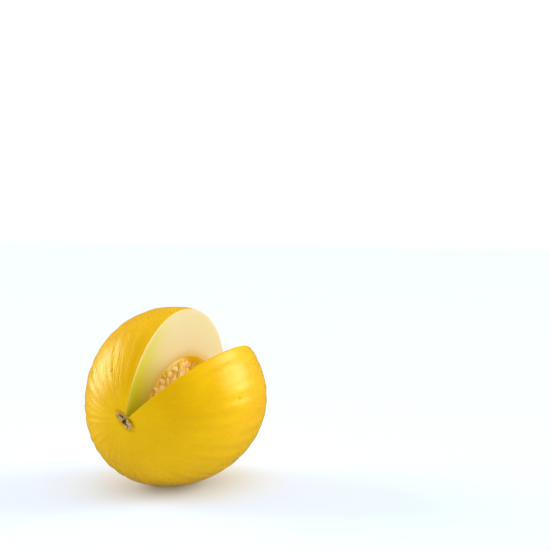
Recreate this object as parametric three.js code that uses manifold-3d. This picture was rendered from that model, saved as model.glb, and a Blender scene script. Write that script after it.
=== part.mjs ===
// A canary melon lying on its side with one lengthwise wedge cut out of its upper right.
// Millimetres. The melon's long line runs along Y through the stem, which is at -Y.
// Angles about that line are in degrees and turn from +X towards +Z.

import * as THREE from 'three';
import { mergeVertices } from 'three/addons/utils/BufferGeometryUtils.js';
import Module from 'manifold-3d';

// Driving dimensions of the fruit
const BELLY_RADIUS = 76;
const HALF_LENGTH = 91.2;
const STEM_FULLNESS = 0.06;
const BELLY_RISE = 5.7;
const LOBES = { two: -0.014, three: 0.015, threeTurned: -0.01 };
const FLAT_DEPTH = 1.3;

// Lengthwise wrinkles: how deep they are pressed in, and the share of it at the belly
// and that each end adds
const WRINKLE_DEPTH = 1.4;
const WRINKLE_SHARE = { belly: 0.4, stemEnd: 1.2, blossomEnd: 0.8 };

// The missing wedge, between a steep upper cut and a lower one
const CUT_STEEP = 83;
const CUT_LOW = 41.7;

// The seed hollow
const HOLLOW_RADIUS = 34;
const HOLLOW_HALF_LENGTH = 59;
const HOLLOW_CENTRE_Y = 3;
const HOLLOW_RISE = 5;

// The corky stub left by the stem: an oval that is long from upper left to lower right
const STUB_HALF_LENGTH = 9.8;
const STUB_HALF_WIDTH = 4.2;
const STUB_TURN = 138;
const STUB_BASE_HEIGHT = 0.9;
const STUB_MIDDLE_HEIGHT = 1.4;

// The shallow seat it grows from, which fades out between two distances from its side
const SEAT_DEPTH = 1.5;
const SEAT_EDGE = { from: 1, to: 3.2 };

// The small scar left by the blossom: a ring round a dimple
const SCAR_RISE = 0.8;
const SCAR_RING = { radius: 5, width: 2.2 };
const SCAR_DIMPLE_WIDTH = 2.5;

// Pulp and seeds
const GAP = 0.3;
const PULP_GAP = 0.5;
const PULP_SETBACK = 4;
const PULP_LUMP = 0.6;
const PULP_SUNKEN = { depth: 4, latitude: 112, length: 0.35, share: 0.84, width: 0.2 };
const SEED = { length: 10.5, width: 5.2, thickness: 2.6 };
const SEED_PITCH = { along: 9.5, across: 7.6 };
const SEED_JITTER = { along: 1.6, out: 1.2, lean: 30, tilt: 12, roll: 25 };
const SEED_LEAN = { outer: 96, inner: 120 };
const SEED_CLEARANCE = 2.2;
const SEEDED_HALF_LENGTH = 45;
const TIE = { length: 15, width: 3.2, thickness: 3.6 };
const TIE_LIFT = 0.6;

// Fineness of the meshes
const RIND_COLUMNS = 126;
const RIND_ROWS = 31;
const ROW_CROWDING = 0.84;
const HOLLOW_COLUMNS = 36;
const HOLLOW_ROWS = 20;
const STUB_COLUMNS = 36;
const PULP_ROWS = 18;
const PULP_WALL_STEPS = 24;
const PULP_SIDE_STEPS = 8;
const DROP_SIDES = 6;

const wasm = await Module();
wasm.setup();

const radians = THREE.MathUtils.degToRad;
const START = radians(CUT_STEEP);
const END = radians(CUT_LOW + 360);

// Evenly spaced values from one number to another, ends included.
function steps(from, to, count) {
  return Array.from({ length: count + 1 }, (_, i) => from + ((to - from) * i) / count);
}

// A point at a radius and angle about the long line, y along it.
function around(radius, angle, y) {
  return new THREE.Vector3(radius * Math.cos(angle), y, radius * Math.sin(angle));
}

// A bell-shaped bump of height 1 at distance 0.
function bell(distance, width) {
  return Math.exp(-((distance / width) ** 2));
}

// Fills a grid of points with triangles that face along rows x columns.
function sheet(grid) {
  const corners = [];
  for (let i = 0; i < grid.length - 1; i += 1) {
    for (let j = 0; j < grid[i].length - 1; j += 1) {
      const [a, b, c, d] = [grid[i][j], grid[i + 1][j], grid[i + 1][j + 1], grid[i][j + 1]];
      corners.push(a, b, c, a, c, d);
    }
  }
  return corners;
}

// Turns every triangle of a list of corners to face the other way.
function flipped(corners) {
  const turned = [];
  for (let i = 0; i < corners.length; i += 3) {
    turned.push(corners[i], corners[i + 2], corners[i + 1]);
  }
  return turned;
}

// Fills an outline that lies in a half plane through the long line.
// side is 1 to face towards growing angles and -1 to face back.
function cutFace(outline, side) {
  const flat = outline.map((p) => new THREE.Vector2(Math.hypot(p.x, p.z), p.y));
  const corners = [];
  for (const [i, j, k] of THREE.ShapeUtils.triangulateShape(flat, [])) {
    const area = THREE.ShapeUtils.area([flat[i], flat[j], flat[k]]);
    const order = area * side > 0 ? [i, j, k] : [i, k, j];
    corners.push(...order.map((n) => outline[n]));
  }
  return corners;
}

// Makes one closed geometry of loose triangles: joins equal corners and drops empty faces.
function closed(corners) {
  const geometry = mergeVertices(new THREE.BufferGeometry().setFromPoints(corners), 1e-4);
  const index = [];
  for (let i = 0; i < geometry.index.count; i += 3) {
    const [a, b, c] = [0, 1, 2].map((n) => geometry.index.getX(i + n));
    if (a !== b && b !== c && c !== a) {
      index.push(a, b, c);
    }
  }
  geometry.setIndex(index);
  return geometry;
}

function toManifold(geometry) {
  return new wasm.Manifold(new wasm.Mesh({
    numProp: 3,
    vertProperties: new Float32Array(geometry.attributes.position.array),
    triVerts: new Uint32Array(geometry.index.array),
  }));
}

function fromManifold(solid) {
  const mesh = solid.getMesh();
  const geometry = new THREE.BufferGeometry();
  geometry.setAttribute('position', new THREE.BufferAttribute(mesh.vertProperties, 3));
  geometry.setIndex(new THREE.BufferAttribute(mesh.triVerts, 1));
  return geometry;
}

// Cross-section of the fruit: 1 is round. The belly sits above the stem's line.
function roundness(angle) {
  return 1 + (BELLY_RISE / BELLY_RADIUS) * Math.sin(angle) + LOBES.two * Math.cos(2 * angle)
    + LOBES.three * Math.cos(3 * angle) + LOBES.threeTurned * Math.sin(3 * angle);
}

// Waves that the wrinkles are made of:
// [crests round the fruit, share of the depth, turn, sway along the length].
const WAVES = [[19, 0.25, 40, 5], [29, 0.4, 110, -4], [41, 0.35, 250, 3]];

function wrinkle(latitude, angle) {
  const end = Math.cos(latitude) > 0 ? WRINKLE_SHARE.stemEnd : WRINKLE_SHARE.blossomEnd;
  const share = WRINKLE_SHARE.belly + end * Math.cos(latitude) ** 2;
  let pressed = 0;
  for (const [crests, part, turn, sway] of WAVES) {
    const swayed = angle + radians(sway) * Math.sin(2 * latitude);
    pressed += part * (0.5 + 0.5 * Math.cos(crests * swayed + radians(turn)));
  }
  return WRINKLE_DEPTH * Math.sin(latitude) * share * pressed;
}

// Radius of the stub's oval outline.
function stubRadius(angle) {
  const turned = angle - radians(STUB_TURN);
  const reach = Math.hypot(STUB_HALF_WIDTH * Math.cos(turned), STUB_HALF_LENGTH * Math.sin(turned));
  return (STUB_HALF_LENGTH * STUB_HALF_WIDTH) / reach;
}

// How far the stem end is pressed in under the stub: full under it, none past its edge.
function seatDepth(radius, angle) {
  const distance = radius - stubRadius(angle);
  return SEAT_DEPTH * (1 - THREE.MathUtils.smoothstep(distance, SEAT_EDGE.from, SEAT_EDGE.to));
}

// A low ring with a dimple in it, where the blossom was.
function blossomScar(radius) {
  return SCAR_RISE * (bell(radius - SCAR_RING.radius, SCAR_RING.width) - bell(radius, SCAR_DIMPLE_WIDTH));
}

// Point of the skin. latitude runs from 0 at the stem to 180 degrees at the blossom end.
function skinPoint(latitude, angle) {
  const along = Math.cos(latitude);
  const smooth = BELLY_RADIUS * Math.sin(latitude) * (1 + STEM_FULLNESS * along) * roundness(angle);
  const radius = smooth - wrinkle(latitude, angle);
  const relief = along > 0 ? seatDepth(radius, angle) : blossomScar(radius);
  return around(radius, angle, -HALF_LENGTH * along + relief);
}

// Lowest level of the skin, and the level of the flat spot that it rests on.
function restingLevel() {
  let lowest = 0;
  for (const latitude of steps(radians(70), radians(110), 40)) {
    for (const angle of steps(radians(250), radians(290), 80)) {
      lowest = Math.min(lowest, skinPoint(latitude, angle).z);
    }
  }
  return lowest + FLAT_DEPTH;
}

const FLOOR = restingLevel();

function restingSkinPoint(latitude, angle) {
  const point = skinPoint(latitude, angle);
  point.z = Math.max(point.z, FLOOR);
  return point;
}

// Point of the hollow's wall, drawn in by a margin where something lies inside it.
function hollowRadius(angle, margin) {
  return HOLLOW_RADIUS + HOLLOW_RISE * Math.sin(angle) - margin;
}

function hollowY(latitude, margin) {
  return HOLLOW_CENTRE_Y - (HOLLOW_HALF_LENGTH - margin) * Math.cos(latitude);
}

function hollowWall(margin) {
  return steps(0, Math.PI, HOLLOW_ROWS).map((latitude) => {
    const y = hollowY(latitude, margin);
    return steps(START, END, HOLLOW_COLUMNS)
      .map((angle) => around(hollowRadius(angle, margin) * Math.sin(latitude), angle, y));
  });
}

// Rows crowd towards both ends, where the stub's seat and the blossom scar are.
function crowdedLatitudes(count) {
  return steps(0, 1, count).map((s) => Math.PI * s - 0.5 * ROW_CROWDING * Math.sin(2 * Math.PI * s));
}

function column(grid, j) {
  return grid.map((row) => row[j]);
}

// Rind and flesh: the skin and the hollow's wall over the kept angles, and the two cut faces.
function makeBody() {
  const skin = crowdedLatitudes(RIND_ROWS).map((latitude) => steps(START, END, RIND_COLUMNS)
    .map((angle) => restingSkinPoint(latitude, angle)));
  const wall = hollowWall(0);
  const steep = [...column(skin, 0), ...column(wall, 0).reverse()];
  const low = [...column(skin, RIND_COLUMNS), ...column(wall, HOLLOW_COLUMNS).reverse()];
  return closed([
    ...sheet(skin),
    ...flipped(sheet(wall)),
    ...cutFace(steep, -1),
    ...cutFace(low, 1),
  ]);
}

// The room inside the hollow, clear of its wall and of the missing wedge.
function makeRoom() {
  const wall = hollowWall(GAP);
  return closed([
    ...sheet(wall),
    ...cutFace(column(wall, 0), -1),
    ...cutFace(column(wall, HOLLOW_COLUMNS), 1),
  ]);
}

// Lumps of the stub, one at upper left, a thin ridge and a long one at lower right:
// [height, angle in degrees, spread in degrees].
const STUB_LUMPS = [[2.9, 138, 34], [1.7, 212, 14], [2.8, 312, 40]];

// Height of the stub above the skin.
function stubHeight(angle) {
  const degrees = THREE.MathUtils.radToDeg(angle);
  const lumps = STUB_LUMPS.map(([height, turn, spread]) => height * bell(degrees - turn, spread));
  return lumps.reduce((sum, lump) => sum + lump, STUB_BASE_HEIGHT);
}

// Profile of the stub from under its middle, round its side and over its top to the middle again:
// [share of its outline radius, share of its height].
const STUB_PROFILE = [
  [0, 0], [0.5, 0], [0.82, 0], [0.94, 0.32], [1, 0.65],
  [0.93, 0.95], [0.75, 1], [0.55, 0.9], [0.3, 0.55], [0, 0.35],
];

function stubPoint([share, rise], angle) {
  const radius = share * stubRadius(angle);
  const sine = radius / (BELLY_RADIUS * (1 + STEM_FULLNESS));
  const skinY = -HALF_LENGTH * Math.sqrt(1 - sine * sine);
  const underside = SEAT_DEPTH - GAP;
  const height = share === 0 ? STUB_MIDDLE_HEIGHT : stubHeight(angle);
  return around(radius, angle, skinY + underside - rise * (underside + height));
}

function makeStub() {
  const angles = steps(START, END, STUB_COLUMNS);
  const grid = STUB_PROFILE.map((corner) => angles.map((angle) => stubPoint(corner, angle)));
  return closed([
    ...flipped(sheet(grid)),
    ...cutFace(column(grid, 0), -1),
    ...cutFace(column(grid, STUB_COLUMNS), 1),
  ]);
}

// What changes the pulp's setback along the wall: [depth added, latitude, length]. It is almost
// flush where it holds to the flesh towards the stem, and deep under the bare dome of the wall.
const EDGE_CHANGES = [[-2.6, 75, 0.55], [5.5, 115, 0.3]];

function edgeSetback(latitude) {
  return EDGE_CHANGES.reduce(
    (depth, [more, place, length]) => depth + more * bell(latitude - radians(place), length),
    PULP_SETBACK,
  );
}

// The two sides of the seed mass that face the missing wedge. inward points into the mass.
function makeSide(angle, turn) {
  const reach = hollowRadius(angle, PULP_GAP);
  return {
    out: around(1, angle, 0),
    inward: around(1, angle + (turn * Math.PI) / 2, 0),
    wallAngle: (latitude) => angle + turn * Math.asin(edgeSetback(latitude) / reach),
    reach,
  };
}

const STEEP_SIDE = makeSide(START, 1);
const LOW_SIDE = makeSide(END, -1);
const BISECTOR = radians((CUT_STEEP + CUT_LOW) / 2);
const HALF_NOTCH = radians((CUT_STEEP - CUT_LOW) / 2);
const PULP_APEX = around(-PULP_SETBACK / Math.sin(HALF_NOTCH), BISECTOR, 0);

// How far the pulp's open sides swell or sink, at a share of the way from the middle to the wall.
function pulpSwell(latitude, share) {
  const edge = 4 * share * (1 - share);
  const lumps = PULP_LUMP * Math.sin(7 * latitude + 2) * Math.sin(5 * share + 3 * latitude);
  const along = bell(latitude - radians(PULP_SUNKEN.latitude), PULP_SUNKEN.length);
  const across = bell(share - PULP_SUNKEN.share, PULP_SUNKEN.width);
  return edge * (lumps + PULP_SUNKEN.depth * along * across);
}

// One cross-section of the pulp at full size: along the steep side, round the wall and back
// along the low side.
function pulpLoop(latitude) {
  const wallPoint = (angle) => around(hollowRadius(angle, PULP_GAP), angle, 0);
  const sidePoint = (side, share) => PULP_APEX.clone().lerp(wallPoint(side.wallAngle(latitude)), share)
    .addScaledVector(side.inward, pulpSwell(latitude, share));
  const shares = steps(0, 1, PULP_SIDE_STEPS);
  const wall = steps(STEEP_SIDE.wallAngle(latitude), LOW_SIDE.wallAngle(latitude), PULP_WALL_STEPS)
    .slice(1, -1)
    .map(wallPoint);
  return [
    ...shares.map((share) => sidePoint(STEEP_SIDE, share)),
    ...wall,
    ...shares.map((share) => sidePoint(LOW_SIDE, share)).reverse(),
  ];
}

// The pulp: that cross-section shrinking to a point at both ends of the hollow.
function makePulp() {
  const grid = steps(0, Math.PI, PULP_ROWS).map((latitude) => pulpLoop(latitude).map((point) => {
    const size = Math.sin(latitude);
    return new THREE.Vector3(point.x * size, hollowY(latitude, PULP_GAP), point.z * size);
  }));
  return closed(sheet(grid));
}

// A flattened drop, pointed at +X, with its broad side facing Z.
function makeDrop({ length, width, thickness }) {
  const grid = [-1, -0.55, 0.45, 1].map((x) => {
    const swell = Math.sqrt(Math.max(1 - x * x, 0)) * (1 - 0.3 * x);
    return steps(0, 2 * Math.PI, DROP_SIDES).map((turn) => new THREE.Vector3(
      (x * length) / 2,
      (swell * width * Math.cos(turn)) / 2,
      (swell * thickness * Math.sin(turn)) / 2,
    ));
  });
  return closed(flipped(sheet(grid)));
}

// Even draws between -1 and 1 that are the same every time.
function seededDraws(seed) {
  let state = seed;
  return () => {
    state = (state * 1664525 + 1013904223) % 4294967296;
    return (2 * state) / 4294967296 - 1;
  };
}

// Size of the hollow's cross-section at y along the fruit, 1 at its middle.
function hollowShare(y) {
  const along = (y - HOLLOW_CENTRE_Y) / (HOLLOW_HALF_LENGTH - PULP_GAP);
  return Math.sqrt(Math.max(1 - along * along, 0));
}

// Places a drop on an open side of the pulp, at y along the fruit and radius out from its long line.
function dropOnSide(shape, side, { y, radius, lean, tilt, roll, lift }) {
  const size = hollowShare(y);
  const latitude = Math.acos((HOLLOW_CENTRE_Y - y) / (HOLLOW_HALF_LENGTH - PULP_GAP));
  const share = Math.min(radius / (side.reach * size), 1);
  const setback = THREE.MathUtils.lerp(PULP_SETBACK, edgeSetback(latitude), share);
  const sunk = (setback + pulpSwell(latitude, share)) * size;
  const centre = side.out.clone().multiplyScalar(radius).addScaledVector(side.inward, sunk - lift);
  centre.y = y;
  const facing = side.inward.clone().negate();
  const across = new THREE.Vector3().crossVectors(facing, side.out);
  const placed = new THREE.Matrix4().makeBasis(side.out, across, facing).setPosition(centre);
  placed.multiply(new THREE.Matrix4().makeRotationFromEuler(new THREE.Euler(roll, tilt, lean, 'ZYX')));
  return toManifold(shape.clone().applyMatrix4(placed));
}

// Seeds on an open side: lines across it, each filled from the wall inwards at an even pitch,
// every seed a little out of line. They lie mostly along the fruit, the outermost ones the most.
function seedsOnSide(side, draw) {
  const shape = makeDrop(SEED);
  const margin = SEED.length / 2 + SEED_CLEARANCE;
  const lines = Math.round((2 * SEEDED_HALF_LENGTH) / SEED_PITCH.along);
  return steps(-SEEDED_HALF_LENGTH, SEEDED_HALF_LENGTH, lines).flatMap((y) => {
    const reach = side.reach * hollowShare(HOLLOW_CENTRE_Y + y) - margin;
    const count = Math.max(1, Math.round(reach / SEED_PITCH.across));
    return steps(0, reach, count).slice(1).map((radius) => dropOnSide(shape, side, {
      y: HOLLOW_CENTRE_Y + y + SEED_JITTER.along * draw(),
      radius: radius + SEED_JITTER.out * draw(),
      lean: radians((radius === reach ? SEED_LEAN.outer : SEED_LEAN.inner) + SEED_JITTER.lean * draw()),
      tilt: radians(SEED_JITTER.tilt * draw()),
      roll: radians(SEED_JITTER.roll * draw()),
      lift: 0,
    }));
  });
}

// Ties of fibre that run up from the seeds to the hollow's wall: [y, radius, lean].
const TIES = [[-4, 28, 6], [-27, 23, -20], [34, 21, 24]];

function tiesOnSide(side) {
  const shape = makeDrop(TIE);
  return TIES.map(([y, radius, lean]) => dropOnSide(shape, side, {
    y, radius, lean: radians(180 + lean), tilt: 0, roll: 0, lift: TIE_LIFT,
  }));
}

// Pulp, seeds and ties in one body, trimmed to the room that it has.
function makeSeedMass() {
  const draw = seededDraws(7);
  const drops = [STEEP_SIDE, LOW_SIDE].flatMap((side) => [...seedsOnSide(side, draw), ...tiesOnSide(side)]);
  const whole = drops.reduce((joined, drop) => joined.add(drop), toManifold(makePulp()));
  return fromManifold(whole.intersect(toManifold(makeRoom())));
}

function piece(name, geometry, color, roughness) {
  geometry.computeVertexNormals();
  const mesh = new THREE.Mesh(geometry, new THREE.MeshStandardMaterial({ color, roughness, metalness: 0 }));
  mesh.name = name;
  return mesh;
}

const fruit = new THREE.Group();
fruit.add(piece('melon_body', makeBody(), 0xf0be0a, 0.4));
fruit.add(piece('stem_scar', makeStub(), 0xb99a5c, 0.85));
fruit.add(piece('seed_mass', makeSeedMass(), 0xd9a63c, 0.3));

// The origin is under the middle of the whole fruit, on the surface that it rests on.
const extent = new THREE.Box3().setFromObject(fruit, true);
fruit.position.set(-(extent.min.x + extent.max.x) / 2, -(extent.min.y + extent.max.y) / 2, -extent.min.z);

const melon = new THREE.Group();
melon.add(fruit);

export default melon;
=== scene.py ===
"""Finish of a canary melon that lies on its side with one lengthwise wedge cut out.

Sizes are millimetres and angles radians until a mesh is made. Angles about the melon's long line
turn from +X towards +Z, and latitude runs along it from 0 at the stem to pi at the blossom end.
"""

import logging
import math
from dataclasses import dataclass, field
from enum import Enum
from typing import Any, Sequence

import bpy
import numpy as np
from mathutils import Matrix, Vector


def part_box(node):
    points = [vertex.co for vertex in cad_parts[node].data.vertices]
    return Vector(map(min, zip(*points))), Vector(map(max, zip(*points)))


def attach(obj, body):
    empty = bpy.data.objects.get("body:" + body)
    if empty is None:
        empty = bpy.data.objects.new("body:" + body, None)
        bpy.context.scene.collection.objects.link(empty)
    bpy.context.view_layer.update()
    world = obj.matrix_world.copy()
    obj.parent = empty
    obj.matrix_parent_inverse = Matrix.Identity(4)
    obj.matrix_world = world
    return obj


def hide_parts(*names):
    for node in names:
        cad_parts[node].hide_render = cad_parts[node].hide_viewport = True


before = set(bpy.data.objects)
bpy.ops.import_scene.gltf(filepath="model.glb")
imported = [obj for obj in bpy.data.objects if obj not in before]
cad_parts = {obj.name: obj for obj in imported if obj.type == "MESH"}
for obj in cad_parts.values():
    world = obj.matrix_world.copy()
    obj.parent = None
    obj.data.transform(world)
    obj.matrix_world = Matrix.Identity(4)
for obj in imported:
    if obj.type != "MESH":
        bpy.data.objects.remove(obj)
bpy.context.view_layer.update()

Array = np.ndarray
Colour = tuple[float, float, float]
Socket = bpy.types.NodeSocket

MM = 0.001
SENSOR_MM = 36.0
LONG_LINE = np.array([0.0, 1.0, 0.0])
NOISE_MIDDLE = (0.3, 0.7)
log = logging.getLogger("melon")


class Slot(Enum):
    """Material slots of the record."""

    RIND_AND_FLESH = "rind_and_flesh"
    CORK = "cork"
    PULP_AND_SEEDS = "pulp_and_seeds"


# Shape helpers on whole arrays


def bell(distance: Array, width: float) -> Array:
    """Bell-shaped bump: one at distance 0, falling as e to the minus (distance / width) squared."""
    return np.exp(-((distance / width) ** 2))


def smoothstep(value: Array, start: float, end: float) -> Array:
    """Smooth rise from 0 at start to 1 at end: 3 s squared minus 2 s cubed of the share s between."""
    share = np.clip((value - start) / (end - start), 0.0, 1.0)
    return share * share * (3.0 - 2.0 * share)


def around(radius: Array, angle: Array, along: Array) -> Array:
    """Points at a radius and an angle about the long line, with along as their y."""
    radius, angle, along = np.broadcast_arrays(radius, angle, along)
    return np.stack([radius * np.cos(angle), along, radius * np.sin(angle)], axis=-1)


def between(start: Array, end: Array, shares: Array) -> Array:
    """Rows of points on the straight lines from start to end, one column for each share."""
    return start[:, None] + (end - start)[:, None] * shares[None, :, None]


def rounded(start: Array, corner: Array, end: Array, count: int) -> Array:
    """Rows of points round a corner: the parabola that leaves start and reaches end pointing at it."""
    s = np.linspace(0.0, 1.0, count + 2)[1:-1, None]
    return (
        (1 - s) ** 2 * start[:, None]
        + 2 * s * (1 - s) * corner[:, None]
        + s**2 * end[:, None]
    )


class Noise:
    """Smooth seeded noise between -1 and 1 on a plane."""

    def __init__(self, seed: int, size: int = 128) -> None:
        """Draws the heights of a square lattice.

        Args:
            seed: Which set of heights is drawn.
            size: Cells after which the noise repeats.
        """
        self.size = size
        self.heights = np.random.default_rng(seed).uniform(-1.0, 1.0, (size, size))

    def __call__(self, u: Array, v: Array) -> Array:
        """Blends the four nearest heights, by a smooth step each way.

        Args:
            u: Places along the first axis, in cells.
            v: Places along the second axis, in cells.

        Returns:
            The noise at each place.
        """
        u, v = np.broadcast_arrays(u, v)
        low_u, low_v = np.floor(u).astype(int), np.floor(v).astype(int)
        share_u = smoothstep(u - low_u, 0.0, 1.0)
        share_v = smoothstep(v - low_v, 0.0, 1.0)
        near_u, far_u = low_u % self.size, (low_u + 1) % self.size
        near_v, far_v = low_v % self.size, (low_v + 1) % self.size
        near = self.heights[near_u, near_v] * (1 - share_v) + self.heights[near_u, far_v] * share_v
        far = self.heights[far_u, near_v] * (1 - share_v) + self.heights[far_u, far_v] * share_v
        return near * (1 - share_u) + far * share_u


# Meshes


def grid_quads(rows: int, columns: int, closed: bool = False) -> Array:
    """Corners of the faces between the points of a grid.

    Args:
        rows: Points down the grid.
        columns: Points across it.
        closed: Whether the last column joins the first.

    Returns:
        One row of four point numbers a face, which faces along rows x columns.
    """
    index = np.arange(rows * columns).reshape(rows, columns)
    right = np.roll(index, -1, axis=1) if closed else index[:, 1:]
    left = index if closed else index[:, :-1]
    corners = [left[:-1], left[1:], right[1:], right[:-1]]
    return np.stack(corners, axis=-1).reshape(-1, 4)


@dataclass
class Shell:
    """Points, four-cornered faces, the finish number of each face, and values given to each point."""

    points: Array
    quads: Array
    finishes: Array
    values: dict[str, Array] = field(default_factory=dict)

    @staticmethod
    def of_grid(
        grid: Array,
        closed: bool = False,
        turned: bool = False,
        finish: int = 0,
        values: dict[str, Array] | None = None,
    ) -> "Shell":
        """Makes a shell of a grid of points.

        Args:
            grid: Points, as rows x columns x 3.
            closed: Whether the last column joins the first.
            turned: Whether the faces are turned to point the other way.
            finish: Finish number of all its faces.
            values: Values of the points, each as rows x columns.

        Returns:
            The shell.
        """
        rows, columns, _ = grid.shape
        quads = grid_quads(rows, columns, closed)
        quads = quads[:, ::-1] if turned else quads
        flat = {name: np.broadcast_to(v, (rows, columns)).reshape(-1) for name, v in (values or {}).items()}
        return Shell(grid.reshape(-1, 3), quads, np.full(len(quads), finish), flat)

    @staticmethod
    def joined(shells: Sequence["Shell"]) -> "Shell":
        """Puts several shells, which give the same values, into one."""
        offsets = np.cumsum([0] + [len(shell.points) for shell in shells[:-1]])
        return Shell(
            np.concatenate([shell.points for shell in shells]),
            np.concatenate([shell.quads + offset for shell, offset in zip(shells, offsets)]),
            np.concatenate([shell.finishes for shell in shells]),
            {name: np.concatenate([s.values[name] for s in shells]) for name in shells[0].values},
        )

    def welded(self, tolerance: float = 1e-4) -> "Shell":
        """Joins the points that lie in the same place, to a tolerance in millimetres."""
        places = np.round(self.points / tolerance).astype(np.int64)
        _, first, joined = np.unique(places, axis=0, return_index=True, return_inverse=True)
        values = {name: value[first] for name, value in self.values.items()}
        return Shell(self.points[first], joined.reshape(-1)[self.quads], self.finishes, values)

    def piece(self, name: str, origin: Array, finishes: Sequence[bpy.types.Material]) -> bpy.types.Object:
        """Makes the mesh object, smooth and in metres, without the corners that coincide.

        Args:
            name: Name of the piece.
            origin: Place of the shell's origin in the frame, in millimetres.
            finishes: Materials that the finish numbers stand for.

        Returns:
            The new object, linked to the scene.
        """
        kept = self.quads != np.roll(self.quads, 1, axis=1)
        whole = kept.sum(axis=1) >= 3
        loops = self.quads[whole][kept[whole]]
        totals = kept[whole].sum(axis=1)
        mesh = bpy.data.meshes.new(name)
        mesh.vertices.add(len(self.points))
        mesh.vertices.foreach_set("co", ((self.points + origin) * MM).astype(np.float32).ravel())
        mesh.loops.add(len(loops))
        mesh.loops.foreach_set("vertex_index", loops.astype(np.int32))
        mesh.polygons.add(len(totals))
        mesh.polygons.foreach_set("loop_start", (np.cumsum(totals) - totals).astype(np.int32))
        mesh.polygons.foreach_set("loop_total", totals.astype(np.int32))
        for finish in finishes:
            mesh.materials.append(finish)
        mesh.polygons.foreach_set("material_index", self.finishes[whole].astype(np.int32))
        mesh.polygons.foreach_set("use_smooth", np.ones(len(totals), dtype=bool))
        mesh.update(calc_edges=True)
        mesh.validate()
        for key, value in self.values.items():
            layer = mesh.attributes.new(key, "FLOAT", "POINT")
            layer.data.foreach_set("value", value.astype(np.float32))
        made = bpy.data.objects.new(name, mesh)
        bpy.context.scene.collection.objects.link(made)
        return made


def mount_piece(piece: bpy.types.Object, node: str) -> None:
    """Fixes a piece to the fruit and lets it stand for a node."""
    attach(piece, "root")
    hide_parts(node)
    triangles = sum(len(face.vertices) - 2 for face in piece.data.polygons)
    log.info("%s: %d triangles, stands for %s", piece.name, triangles, node)


# Shape of the fruit


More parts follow.
